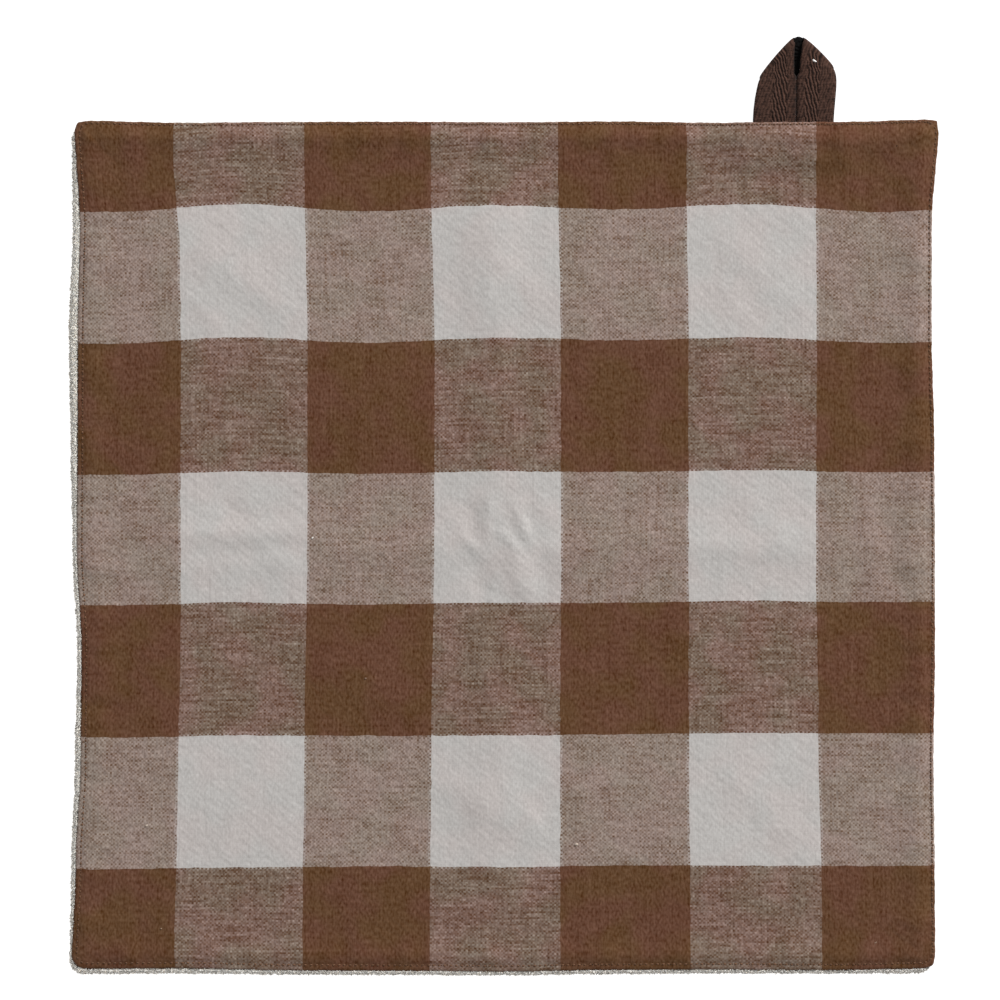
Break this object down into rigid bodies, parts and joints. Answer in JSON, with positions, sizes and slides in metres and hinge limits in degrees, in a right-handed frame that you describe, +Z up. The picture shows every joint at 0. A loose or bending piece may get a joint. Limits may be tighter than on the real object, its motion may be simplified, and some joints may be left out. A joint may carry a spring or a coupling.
{
  "type": "dishcloth",
  "caption": "Square dishcloth lying flat: a brown and white checked cotton front on a white terry back, with a hanging loop of dark folded tape in its top edge.",
  "frame": {"origin": "on the underside of the back panel, below the centre of the front panel", "axes": "+Z up out of the checked front, +Y towards the edge that holds the hanging loop, +X to the right when the loop's edge is the far one"},
  "size_m": [0.3028, 0.3269, 0.0048],
  "materials": {
    "checked_cotton": "matt plain-woven cotton in a brown and white check",
    "white_terry": "undyed cotton terry with a short loop pile",
    "herringbone_tape": "dark brown herringbone-woven cotton tape"
  },
  "bodies": {
    "root": {"front_panel": "checked_cotton", "back_panel": "white_terry", "hanging_loop": "herringbone_tape"}
  },
  "joints": []
}
